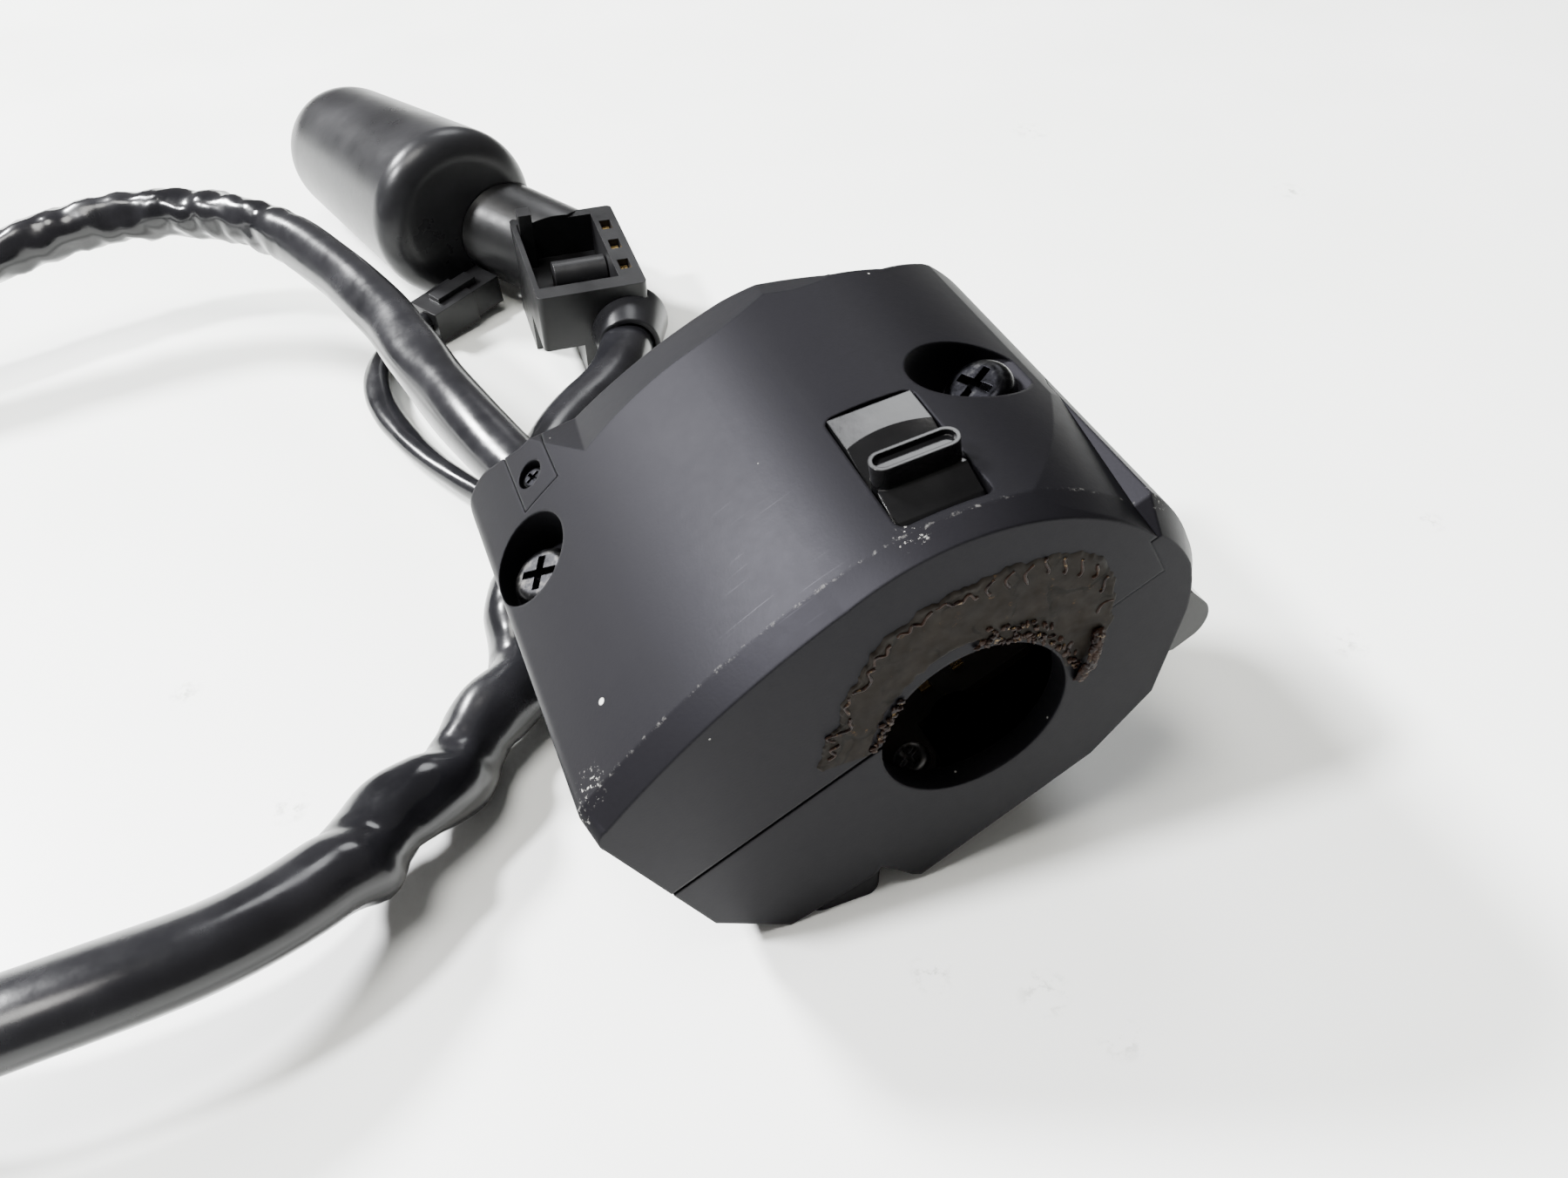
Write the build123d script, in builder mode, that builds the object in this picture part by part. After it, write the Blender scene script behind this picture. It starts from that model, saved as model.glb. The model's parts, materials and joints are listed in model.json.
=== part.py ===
"""Left-hand handlebar switch for a motorcycle: a two-part clamp housing for a 22.2 mm bar
with a flash-to-pass rocker on its front, turn, dimmer and horn controls on its rear, and a
sleeved harness to a connector with a rubber boot.  A thin second lead runs to a small
two-way connector.

Origin: centre of the bar bore on the outer end face.  +Y runs inward along the bar, +Z is up
and the housing lies on its rear face, leaning `lean` degrees about the bar.
Inside the housing u is across the bar, s is along it (+Y) and w is forward, along the screws.
"""
import os
from math import acos, cos, degrees, radians, sin, tan

from build123d import *

os.makedirs("parts", exist_ok=True)

# ---------------------------------------------------------------- driving dimensions (mm)
lean = 30.0            # lean of the housing about the bar
table = -28.06         # height of the surface everything lies on
bore_r = 11.15         # handlebar bore, for a 22.2 mm bar
lip = 3.5              # length of the tapered lip at the outer end
end_wall = 3.0
part_low, part_high = 6.0, 2.5     # parting line below and above the bar
gap = 0.45             # visible gap at the parting line
sleeve_r = 4.5         # harness sleeve
lead_r = 2.4           # thin second lead

u_dir = Vector(cos(radians(lean)), 0, sin(radians(lean)))
w_dir = Vector(-sin(radians(lean)), 0, cos(radians(lean)))


def at(u, s, w):
    """A housing point in the row frame."""
    return u_dir * u + w_dir * w + Vector(0, s, 0)


def across(s):
    """Plane across the bar at depth s: sketches in (u, w), a negative extrude goes inward."""
    return Plane(origin=(0, s, 0), x_dir=u_dir, z_dir=(0, -1, 0))


def facing(w, u=0, s=0):
    """Plane square to the screws at height w: sketches in (u, s)."""
    return Plane(origin=at(u, s, w), x_dir=u_dir, z_dir=w_dir)


def tilted(u, w, angle):
    """Plane on a face whose normal leans angle from forward toward +u: sketches (s, -p)."""
    normal = u_dir * sin(radians(angle)) + w_dir * cos(radians(angle))
    return Plane(origin=at(u, 0, w), x_dir=(0, 1, 0), z_dir=normal)


def save(builder, label):
    builder.part.label = label
    export_step(builder.part, f"parts/{label}.step")


# ---------------------------------------------------------------- outside of the housing
# Section points: arcs over the shoulder, crown, front and lower corner, then flats behind.
full_arcs = [[(29.9, 0), (29.5, 6.5), (27.6, 12.2)],
             [(27.6, 12.2), (14.25, 23.93), (-3, 28.2)],
             [(-4.5, 28.2), (-20, 26.94), (-36.2, 22.8)],
             [(-36.2, 22.8), (-37.35, 22.0), (-37.8, 20.6)],
             [(28.2, -7.5), (29.5, -3.8), (29.9, 0)]]
full_flats = [(-37.8, 20.6), (-37.8, -3.9), (-32.5, -13.6), (-18.5, -21.7),
              (12.5, -21.7), (19.2, -18.9), (28.2, -7.5)]
lip_arcs = [[(28.1, 0.5), (27.5, 5.5), (25.4, 10.2)],
            [(25.4, 10.2), (16.6, 21.6), (-3, 27.2)],
            [(-4.5, 27.2), (-20, 25.5), (-35.4, 21.5)],
            [(-35.4, 21.5), (-36.9, 20.8), (-37.3, 19.2)],
            [(25.6, -6.4), (27.2, -3.0), (28.1, 0.5)]]
lip_flats = [(-37.3, 19.2), (-37.7, -3.8), (-32.6, -13.4), (-17.3, -21.2),
             (8, -20.3), (17.9, -16.4), (25.6, -6.4)]


def section(arcs, flats):
    """Closed outline across the housing."""
    with BuildLine() as outline:
        for start, middle, end in arcs:
            ThreePointArc(start, middle, end)
        Line(arcs[1][2], arcs[2][0])
        Polyline(*flats)
    make_face(outline.line.edges())


with BuildPart() as body:
    with BuildSketch(across(0)):
        section(lip_arcs, lip_flats)
    with BuildSketch(across(lip)):
        section(full_arcs, full_flats)
    loft(ruled=True)
    with BuildSketch(across(lip)):
        section(full_arcs, full_flats)
    extrude(amount=-56)
    # inner end: square over the bar, running out to the corner where the harness leaves
    with BuildSketch(facing(-50)):
        with BuildLine():
            Line((-33.0, 57.1), (-27, 54.3))
            ThreePointArc((-27, 54.3), (-11, 52.9), (4, 52.6))
            ThreePointArc((4, 52.6), (10.8, 50.9), (16.5, 48.0))
            Polyline((16.5, 48.0), (22, 48.2), (27, 51), (32, 51), (32, -1), (-39, -1),
                     (-39, 51.5), (-37.8, 52.8))
            ThreePointArc((-37.8, 52.8), (-36.5, 56.2), (-33.0, 57.1))
        make_face()
    extrude(amount=100, mode=Mode.INTERSECT)
    # crescent facet where the crown falls toward the inner end
    with BuildSketch(Plane(origin=(0, 0, 0), x_dir=u_dir, z_dir=w_dir * 0.25 - Vector(0, 1, 0))):
        with BuildLine():
            Polyline((8.6, 37.2), (16, 33.8), (22, 33.8), (22, 60), (-27.5, 60), (-27.5, 38.8),
                     (-19, 36.9))
            ThreePointArc((-19, 36.9), (-3.3, 38.35), (8.6, 37.2))
        make_face()
    extrude(amount=-70, mode=Mode.SUBTRACT)
    # hollow under the outer end of the rear, where the horn button sits
    with BuildSketch(across(-1)):
        with BuildLine():
            Polyline((-32.7, -13.5), (-21.2, -15.1), (-19.8, -14.5), (-18.8, -17.1), (-18.0, -20.0),
                     (-17.2, -21.3), (-17.2, -30), (-42, -30), (-42, -13.5), (-32.7, -13.5))
        make_face()
    extrude(amount=-18, mode=Mode.SUBTRACT)


# ---------------------------------------------------------------- hollow inside the housing
def hollow():
    """The space inside both halves, between the end walls."""
    with BuildSketch(across(end_wall)) as profile:
        with BuildLine():
            Polyline((21.5, 11), (21.5, -8), (17.5, -15.8), (10, -18.9), (-16, -18.9),
                     (-20.3, -12.4), (-31.2, -10.6), (-35.2, -2.8), (-35.2, 18.5), (-33.5, 20.6))
            ThreePointArc((-33.5, 20.6), (-20, 24.0), (-3, 25.4))
            ThreePointArc((-3, 25.4), (14, 20.8), (21.5, 11))
        make_face()
    extrude(profile.sketch, amount=-52)
    with BuildSketch(facing(-50)) as depth:
        with BuildLine():
            Polyline((-36, 2), (24, 2), (24, 46), (16, 45.0), (8, 47.2), (-6, 47.6), (-18, 46.8),
                     (-26, 50.6), (-33, 53.6), (-36, 53.6), (-36, 2))
        make_face()
    extrude(depth.sketch, amount=100, mode=Mode.INTERSECT)


def post(u, s, r, low, high, mode=Mode.ADD):
    """Round post along the screws."""
    with BuildSketch(facing(low)) as disc:
        with Locations((u, s)):
            Circle(r)
    extrude(disc.sketch, amount=high - low, mode=mode)


low_screw = (-32.05, 37.6)       # case screw by the harness
low_counterbore = (-31.4, 37.6)  # the hole its head stands in
high_screw = (21.5, 25.2)        # case screw beside the rocker
rocker_u, rocker_w, rocker_lean = 10.55, 25.63, 21.5
rocker_face = tilted(rocker_u, rocker_w, rocker_lean)
rocker_in = rocker_face.z_dir * -1


def well(length, width, top, bottom, mode, middle=13.85, radius=1.2):
    """Rounded block square to the rocker's face, from top down to bottom."""
    with BuildSketch(rocker_face.offset(bottom)) as opening:
        with Locations((middle, 0)):
            RectangleRounded(length, width, radius)
    extrude(opening.sketch, amount=top - bottom, mode=mode)


with BuildPart() as front_space:
    hollow()
    post(*low_counterbore, 6.9, -40, 40, Mode.SUBTRACT)
    post(*high_screw, 7.0, -40, 40, Mode.SUBTRACT)
    well(22.2, 14.4, 8, -9, Mode.SUBTRACT)
    # thicker roof under the corner plate
    with BuildSketch(facing(19.9)):
        with Locations((-30, 49)):
            Rectangle(16, 12)
    extrude(amount=12, mode=Mode.SUBTRACT)
    # stiffening ribs under the crown
    for rib in (29.5, 36.5):
        with BuildSketch(across(rib)):
            with Locations((-9, 24.5)):
                Rectangle(26, 7)
        extrude(amount=-1.4, mode=Mode.SUBTRACT)

with BuildPart() as rear_space:
    hollow()
    post(*low_counterbore, 6.2, -40, 40, Mode.SUBTRACT)
    post(*high_screw, 6.6, -40, 40, Mode.SUBTRACT)
    post(-2.6, 10.8, 3.1, -25, -13, Mode.SUBTRACT)
    for u, s in ((-10.3, 10.2), (-10, 40)):
        post(u, s, 3.2, -25, -17.3, Mode.SUBTRACT)

# ---------------------------------------------------------------- front half
harness = [(-30.0, 46.5, -3.0), (-36.8, 67, -2.2), (-42.5, 93, -2.8), (-46.5, 119, -3.5),
           (-60, 156, -4.5), (-84, 171, -5.5), (-110, 165, -8), (-150, 150, -18),
           (-178, 110, -23.2), (-182, 70, -23.2), (-160, 30, -21), (-125, 10, -14),
           (-98, 9, -11), (-76, 14, -15.5), (-59, 28, -21), (-42, 44, -22.6),
           (-37.5, 62, -17), (-27, 88, -16.5), (-8, 105.5, -18.6), (-4.2, 121.2, -19)]
lead = [(-24.5, 47, -17), (-25.5, 62, -19.5), (-31.5, 78, -25.5), (-43.5, 99, -25.6),
        (-49.3, 117, -25.6), (-49.6, 129.5, -25.6), (-45.7, 138.6, -25.3), (-37.3, 143.3, -24.5)]


def along(start, end, shift=0.0):
    """Plane square to the run from start to end, shift mm along it."""
    run = Vector(*end) - Vector(*start)
    return Plane(origin=Vector(*start) + run.normalized() * shift, z_dir=run)


strip = [(-0.5, 7.6), (3.3, 10.3), (24.0, 10.3), (26.5, 8.5)]     # top of the strip in (s, w)
sideways = Plane(origin=at(25.3, 0, 0), x_dir=(0, 1, 0), z_dir=u_dir)
axle_s, axle_in = 15.5, 4.5      # rocker pivot: along the window and below the skin

with BuildPart() as front_case:
    add(body.part)
    with BuildSketch(across(-1)):
        with BuildLine():
            Polyline((-45, part_low), (-8, part_low), (-8, part_high), (45, part_high), (45, 45),
                     (-45, 45), (-45, part_low))
        make_face()
    extrude(amount=-70, mode=Mode.INTERSECT)
    add(front_space.part, mode=Mode.SUBTRACT)
    # the upper shoulder flares out from the lip
    with BuildSketch(Plane(origin=(0, 0, 0), x_dir=u_dir, z_dir=w_dir)):
        with BuildLine():
            Polyline((27.3, -0.5), (28.2, lip), (30.4, 23), (45, 23), (45, -0.5), (27.3, -0.5))
        make_face()
    revolve(axis=Axis.Y, revolution_arc=-90, mode=Mode.SUBTRACT)
    # seat for the strip of the rear half, with a small notch at the outer end
    with BuildSketch(sideways):
        with BuildLine():
            Polyline((-0.5, 1.5), (-0.5, 7.8), (3.2, 10.5), (24.1, 10.5), (26.8, 8.6), (26.8, 1.5),
                     close=True)
        make_face()
    extrude(amount=12, mode=Mode.SUBTRACT)
    with BuildSketch(sideways.offset(1.8)):
        with BuildLine():
            Polyline((-0.5, 7.6), (-0.5, 10.6), (1.4, 10.6), (3.4, 10.4), close=True)
        make_face()
    extrude(amount=10, mode=Mode.SUBTRACT)
    # bar bore
    with BuildSketch(across(-1)):
        Circle(bore_r)
    extrude(amount=-60, mode=Mode.SUBTRACT)
    # rocker window and its pivot hole
    well(18.7, 10.4, 8, -12, Mode.SUBTRACT)
    pivot_side = Plane(origin=rocker_face.origin + rocker_in * axle_in + Vector(0, axle_s, 0),
                       x_dir=(0, 1, 0), z_dir=rocker_face.y_dir)
    with BuildSketch(pivot_side):
        Circle(0.92)
    extrude(amount=6.9, both=True, mode=Mode.SUBTRACT)
    # deep counterbores and clearance holes for the two case screws
    post(*low_counterbore, 5.8, 18.7, 40, Mode.SUBTRACT)
    post(*low_screw, 2.7, 0, 20, Mode.SUBTRACT)
    post(*high_screw, 5.66, 13.3, 40, Mode.SUBTRACT)
    post(*high_screw, 2.7, 0, 20, Mode.SUBTRACT)
    # pocket for the corner plate and the hole for its screw
    with BuildSketch(facing(22.1)):
        with Locations((-26.55, 52)):
            Rectangle(6.1, 15.8)
    extrude(amount=10, mode=Mode.SUBTRACT)
    post(-27, 48.8, 0.95, 19, 30, Mode.SUBTRACT)
    # harness hole through the inner end wall
    with BuildSketch(along(harness[0], harness[1], 1.0)):
        Circle(5.25)
    extrude(amount=16, mode=Mode.SUBTRACT)
save(front_case, "front_case")

# ---------------------------------------------------------------- rear half
dimmer_u, dimmer_w, dimmer_lean = 23.85, -13.15, 128.3
dimmer_face = tilted(dimmer_u, dimmer_w, dimmer_lean)


def dimmer_block(s, t, long, wide, bottom, top, mode=Mode.ADD):
    """Block square to the dimmer's face."""
    with BuildSketch(dimmer_face.offset(bottom)) as base:
        with Locations((s, t)):
            Rectangle(long, wide)
    extrude(base.sketch, amount=top - bottom, mode=mode)


turn_u, turn_s, turn_travel = 4.0, 27.0, 4.5
horn_x, horn_y, horn_travel = -14.1, 8.4, 1.2


def horn_block(dx, dy, bottom, top, mode=Mode.ADD, radius=1.0, y=horn_y, x=horn_x):
    """Rounded upright block around the horn button's middle."""
    with BuildSketch(Plane(origin=(x, y, bottom))) as base:
        RectangleRounded(dx, dy, radius)
    extrude(base.sketch, amount=top - bottom, mode=mode)


with BuildPart() as rear_case:
    add(body.part)
    with BuildSketch(across(-1)):
        with BuildLine():
            Polyline((-45, part_low - gap), (-8, part_low - gap), (-8, part_high), (45, part_high),
                     (45, -45), (-45, -45), (-45, part_low - gap))
        make_face()
    extrude(amount=-70, mode=Mode.INTERSECT)
    add(rear_space.part, mode=Mode.SUBTRACT)
    # bezel round the horn button, level with the surface the switch lies on
    horn_block(10.4, 14.6, table + 0.04, -22.5, radius=2.5, y=7.7)
    horn_block(6.8, 9.6, table - 2, -18, Mode.SUBTRACT, radius=1.5)
    # bar bore
    with BuildSketch(across(-1)):
        Circle(bore_r)
    extrude(amount=-60, mode=Mode.SUBTRACT)
    # slot of the turn knob
    with BuildSketch(facing(-30)):
        with Locations((turn_u, turn_s)):
            SlotOverall(2 * turn_travel + 6.6, 5.4, rotation=90)
    extrude(amount=12, mode=Mode.SUBTRACT)
    # slot and inner pocket of the dimmer
    dimmer_block(10.5, 0, 9.8, 4.8, -6, 3, Mode.SUBTRACT)
    dimmer_block(10.7, 0.1, 14.6, 10.2, -8, -2.9, Mode.SUBTRACT)
    # locating peg, carrier screws and case screw inserts
    post(-2.6, 10.8, 1.92, -18, 0, Mode.SUBTRACT)
    for u, s in ((-10.3, 10.2), (-10, 40)):
        post(u, s, 1.25, -20.2, -10, Mode.SUBTRACT)
    post(*low_screw, 3.6, -4, 10, Mode.SUBTRACT)
    post(*high_screw, 3.6, -7, 10, Mode.SUBTRACT)
    # hole for the thin lead through the inner end wall
    with BuildSketch(along(lead[0], lead[1])):
        Circle(lead_r + 0.1)
    extrude(amount=16, mode=Mode.SUBTRACT)

with BuildPart() as strip_block:
    add(body.part)
    with BuildSketch(sideways):
        with BuildLine():
            Polyline((-0.5, part_high), *strip, (26.5, part_high), close=True)
        make_face()
    extrude(amount=12, mode=Mode.INTERSECT)

with BuildPart() as rear_shell:
    add(rear_case.part)
    add(strip_block.part)
save(rear_shell, "rear_case")

# ---------------------------------------------------------------- rocker
rocker_side = Plane(origin=rocker_face.origin, x_dir=(0, 1, 0), z_dir=rocker_face.y_dir * -1)
with BuildPart() as finger_scoop:
    with BuildSketch(rocker_side):
        with Locations((7.6, 27.7)):
            Circle(30)
        with Locations((-8, 27.7)):
            Rectangle(42, 80, mode=Mode.SUBTRACT)
    revolve(axis=Axis(rocker_face.origin + Vector(0, 7.6, 0), rocker_face.z_dir))
with BuildPart() as pass_rocker:
    with BuildSketch(rocker_side):
        with BuildLine():
            Polyline((5.2, -5.0), (5.2, -2.7), (6.4, -1.5), (9.9, -0.25), (22.7, -0.15),
                     (22.7, -3.0), (19.5, -6.2), (11.5, -6.2), (5.2, -5.0))
        make_face()
    extrude(amount=4.85, both=True)
    add(finger_scoop.part, mode=Mode.SUBTRACT)
    # raised finger ridge with a dished top
    with BuildSketch(rocker_face.offset(-1.4)):
        with Locations((11.4, 0)):
            SlotOverall(9.8, 3.0, rotation=90)
    extrude(amount=3.8)
    with BuildSketch(rocker_face.offset(1.7)):
        with Locations((11.4, 0)):
            SlotOverall(8.9, 2.1, rotation=90)
    extrude(amount=1, mode=Mode.SUBTRACT)
    with BuildSketch(pivot_side):
        Circle(0.94)
    extrude(amount=8, both=True, mode=Mode.SUBTRACT)
save(pass_rocker, "pass_rocker")

with BuildPart() as pass_pin:
    with BuildSketch(pivot_side):
        Circle(0.9)
    extrude(amount=6.8, both=True)
save(pass_pin, "pass_pin")

with BuildPart() as pass_contact:
    with BuildSketch(rocker_side.offset(-0.5)):
        with Locations((10.25, -10.8)):
            Rectangle(14.3, 3.6)
    extrude(amount=6.1, both=True)
save(pass_contact, "pass_contact")

with BuildPart() as pass_spring:
    with BuildSketch(rocker_side):
        with BuildLine() as leaf:
            Polyline((16.8, -8.85), (12.6, -8.85), (9.3, -6.7), (7.4, -5.9), (6.6, -5.95))
            offset(amount=0.12)
        make_face()
    extrude(amount=1.5, both=True)
save(pass_spring, "pass_spring")

with BuildPart() as pass_terminals:
    for across_window in (-4.0, -0.5):
        with BuildSketch(rocker_side.offset(across_window)):
            with Locations((9, -13.6)):
                Rectangle(3, 2)
        extrude(amount=0.4, both=True)
save(pass_terminals, "pass_terminals")

# ---------------------------------------------------------------- turn switch
with BuildPart() as turn_knob:
    with BuildSketch(across(turn_s - 4.5)):
        with BuildLine():
            Polyline((1.0, -32.6), (-2.2, -27), (-3.0, -22.1), (10.0, -22.1), (9.6, -27), (7.6, -32.2))
            ThreePointArc((7.6, -32.2), (6.9, -33.4), (5.6, -34.0))
            Line((5.6, -34.0), (3.4, -34.05))
            ThreePointArc((3.4, -34.05), (1.9, -33.45), (1.0, -32.6))
        make_face()
    extrude(amount=-9)
    with BuildSketch(facing(-23)):
        with Locations((turn_u, turn_s)):
            SlotOverall(6, 5, rotation=90)
    extrude(amount=5)
    with BuildSketch(facing(-18.8)):
        with Locations((turn_u, turn_s)):
            Rectangle(10.4, 16.4)
    extrude(amount=1.4)
save(turn_knob, "turn_knob")

with BuildPart() as turn_carrier:
    with BuildSketch(facing(-17.3)):
        with Locations((-1.7, 28)):
            Rectangle(22.6, 26.8)
        with Locations((-10.3, 12.4)):
            Rectangle(6, 5)
        with Locations((-10.3, 10.2)):
            Circle(3.0)
        with Locations((-10.3, 10.2), (-10, 40)):
            Circle(1.3, mode=Mode.SUBTRACT)
    extrude(amount=1.6)
save(turn_carrier, "turn_carrier")

with BuildPart() as turn_contacts:
    for u in (-4, 1, 6):
        with BuildSketch(facing(-15.7)):
            with Locations((u, turn_s)):
                Rectangle(1.6, 18)
        extrude(amount=0.3)
save(turn_contacts, "turn_contacts")


def pan_screw(u, s, under_head, head_r, head_h, shank_r, tip, spin=20):
    """Cross-recess pan head screw pointing to the rear, with a rounded rim to its head."""
    top = under_head + head_h
    with BuildSketch(across(s)) as half:
        with BuildLine():
            Polyline((u, top), (u, tip), (u + shank_r, tip), (u + shank_r, under_head),
                     (u + head_r, under_head), (u + head_r, top - 0.5 * head_h))
            ThreePointArc((u + head_r, top - 0.5 * head_h), (u + 0.87 * head_r, top - 0.12 * head_h),
                          (u + 0.6 * head_r, top))
            Line((u + 0.6 * head_r, top), (u, top))
        make_face()
    revolve(half.sketch, axis=Axis(at(u, s, 0), w_dir))
    for turn in (0, 90):
        with BuildSketch(facing(top - 0.55 * head_h)) as recess:
            with Locations((u, s)):
                Rectangle(head_r * 1.15, head_r * 0.25, rotation=turn + spin)
        extrude(recess.sketch, amount=head_h, mode=Mode.SUBTRACT)


screws = {"carrier_screw_1": (-10.3, 10.2, -15.7, 2.4, 1.5, 1.2, -19.9),
          "carrier_screw_2": (-10, 40, -15.7, 2.4, 1.5, 1.2, -19.9),
          "case_screw_low": (*low_screw, 18.7, 4.1, 3.0, 2.4, -3, 60),
          "case_screw_high": (*high_screw, 13.3, 4.1, 3.0, 2.4, -6),
          "corner_screw": (-27, 48.8, 23.7, 1.7, 1.2, 0.9, 19.9)}
for label, sizes in screws.items():
    with BuildPart() as screw:
        pan_screw(*sizes)
    save(screw, label)

for label, (u, s), bottom, top in (("insert_low", low_screw, -4, part_low - gap),
                                   ("insert_high", high_screw, -7, part_high)):
    with BuildPart() as insert:
        post(u, s, 3.6, bottom, top)
        post(u, s, 2.45, bottom - 1, top + 1, Mode.SUBTRACT)
    save(insert, label)

with BuildPart() as locating_peg:
    post(-2.6, 10.8, 1.9, -18, -11.3)
save(locating_peg, "locating_peg")

# ---------------------------------------------------------------- dimmer switch
with BuildPart() as dimmer_knob:
    with BuildSketch(Plane(origin=dimmer_face.origin + Vector(0, 4, 0), x_dir=dimmer_face.y_dir,
                           z_dir=(0, 1, 0))):
        with BuildLine():
            Polyline((-2.6, 4.9), (-4.6, 2.6), (-5, 0.4), (5, 0.4), (4.6, 1.8), (2.6, 4.4))
            ThreePointArc((2.6, 4.4), (-0.4, 5.75), (-2.6, 4.9))
        make_face()
    extrude(amount=8)
    dimmer_block(8, 0, 4, 4.4, -3.2, 1.0)
    dimmer_block(8, 0, 8, 8.4, -4.2, -3.0)
save(dimmer_knob, "dimmer_knob")

with BuildPart() as dimmer_retainer:
    dimmer_block(10.7, 0.1, 14.6, 10.2, -5.8, -4.3)
save(dimmer_retainer, "dimmer_retainer")

with BuildPart() as dimmer_contacts:
    for t in (-2.4, 2.4):
        dimmer_block(10.5, t, 11, 1.4, -6.1, -5.8)
save(dimmer_contacts, "dimmer_contacts")

# ---------------------------------------------------------------- horn button
with BuildPart() as horn_button:
    horn_block(6.5, 9.3, table + 0.45, -20.7, radius=1.4)
    horn_block(9.0, 10.6, -20.75, -19.5, y=8.5)
save(horn_button, "horn_button")

with BuildPart() as horn_contact:
    horn_block(11.4, 12.0, -14.6, -13.6, y=9.0, radius=0.6)
save(horn_contact, "horn_contact")

with BuildPart() as horn_spring:
    with BuildLine():
        coil = Helix(pitch=0.88, height=4.4, radius=2.3, center=(horn_x, horn_y, -19.25))
    with BuildSketch(Plane(origin=coil @ 0, z_dir=coil % 0)):
        Circle(0.2)
    sweep(is_frenet=True)
save(horn_spring, "horn_spring")

# ---------------------------------------------------------------- corner plate and grommet
with BuildPart() as corner_plate:
    add(body.part)
    with BuildSketch(facing(22.2)):
        with Locations((-26.55, 52)):
            Rectangle(5.9, 15.6)
    extrude(amount=10, mode=Mode.INTERSECT)
    post(-27, 48.8, 1.9, 23.7, 40, Mode.SUBTRACT)
    post(-27, 48.8, 0.95, 20, 30, Mode.SUBTRACT)
save(corner_plate, "corner_plate")

with BuildPart() as grommet:
    with BuildSketch(along(harness[0], harness[1], 1.2)):
        Circle(5.9)
        Circle(sleeve_r + 0.05, mode=Mode.SUBTRACT)
    extrude(amount=1.7)
    with BuildSketch(along(harness[0], harness[1], 2.9)):
        Circle(5.2)
        Circle(sleeve_r + 0.05, mode=Mode.SUBTRACT)
    extrude(amount=9.8)
    add(front_case.part, mode=Mode.SUBTRACT)
save(grommet, "grommet")


# ---------------------------------------------------------------- harness and thin lead
def bends(points, name):
    """Arc radius at each corner: straight runs joined by arcs that touch them."""
    radii = []
    runs = [(Vector(*b) - Vector(*a)) for a, b in zip(points, points[1:])]
    for first, second in zip(runs, runs[1:]):
        dot = first.normalized().dot(second.normalized())
        turn = acos(max(-1.0, min(1.0, dot)))
        radii.append(0.45 * min(first.length, second.length) / tan(turn / 2))
        print(name, "turn", round(degrees(turn), 1), "radius", round(radii[-1], 1))
    return radii


def tube(points, radius, name):
    """Round tube along the points; its length is printed."""
    with BuildPart() as made:
        with BuildLine() as path:
            FilletPolyline(*points, radius=bends(points, name))
        centre = path.wires()[0]
        with BuildSketch(Plane(origin=centre @ 0, z_dir=centre % 0)):
            Circle(radius)
        sweep(path=centre)
    length = centre.length
    print(name, "length", round(length, 1), "volume ratio",
          round(made.part.volume / (3.14159265 * radius ** 2 * length), 4))
    return made


save(tube(harness, sleeve_r, "harness_sleeve"), "harness_sleeve")
save(tube(lead, lead_r, "clutch_lead"), "clutch_lead")

# ---------------------------------------------------------------- harness connector
floor_z = table + 0.1
body_top = -10.0
connector_at = Location((-9.4, 133.6, 0), (0, 0, -3.8))
windows = [7.6, 0.0, -7.6]
boot_start = Vector(-25.5, 156.0, table + 16.4)
boot_run = Vector(-0.3075, 0.9494, -0.0655).normalized()
boot_plane = Plane(origin=boot_start, x_dir=Vector(0, 0, 1).cross(boot_run), z_dir=boot_run)


def connector_block(x, y, dx, dy, bottom, top, mode=Mode.ADD):
    """Upright block square to the connector."""
    with BuildSketch(Plane(connector_at).offset(bottom)) as base:
        with Locations((x, y)):
            Rectangle(dx, dy)
    extrude(base.sketch, amount=top - bottom, mode=mode)


with BuildPart() as connector_body:
    with BuildSketch(Plane(connector_at).offset(floor_z)):
        RectangleRounded(19.4, 30, 1.0)
    extrude(amount=body_top - floor_z)
    # lower corner cut away beside the harness
    connector_block(-7.2, -9, 9.4, 14, table, -20.6, Mode.SUBTRACT)
    # round neck that reaches into the boot
    neck = Plane(origin=(-8.6, 147.0, table + 9.5), z_dir=(-0.62, 0.77, 0.15))
    with BuildSketch(neck):
        Circle(9.2)
    extrude(amount=26)
    # latch bay in the top, open upward
    connector_block(-1.65, 0.55, 14.1, 24.1, body_top - 9, body_top + 1, Mode.SUBTRACT)
    # three small windows over the terminals along the right rim
    for y in windows:
        connector_block(7.3, y, 2.0, 3.4, body_top - 2.6, body_top + 1, Mode.SUBTRACT)
    # socket the harness enters by
    with BuildSketch(along(harness[-1], harness[-2])):
        Circle(sleeve_r + 0.1)
    extrude(amount=8, mode=Mode.SUBTRACT)
save(connector_body, "connector_body")

for number, y in enumerate(windows, 1):
    with BuildPart() as terminal:
        connector_block(7.3, y, 1.4, 2.8, body_top - 2.6, body_top - 1.2)
    save(terminal, f"terminal_{number}")

with BuildPart() as connector_latch:
    connector_block(-1.65, 3.7, 14.0, 17.4, body_top - 9, body_top - 7.4)
    connector_block(-7.3, 10.6, 2.4, 3.2, body_top - 9, body_top + 3.4)
    # round lock bar across the bay
    with BuildSketch(Plane(connector_at * Location((-4.5, 0.5, body_top - 5.2), (0, 90, 0)))):
        Circle(2.9)
    extrude(amount=9.6)
save(connector_latch, "connector_latch")

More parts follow.
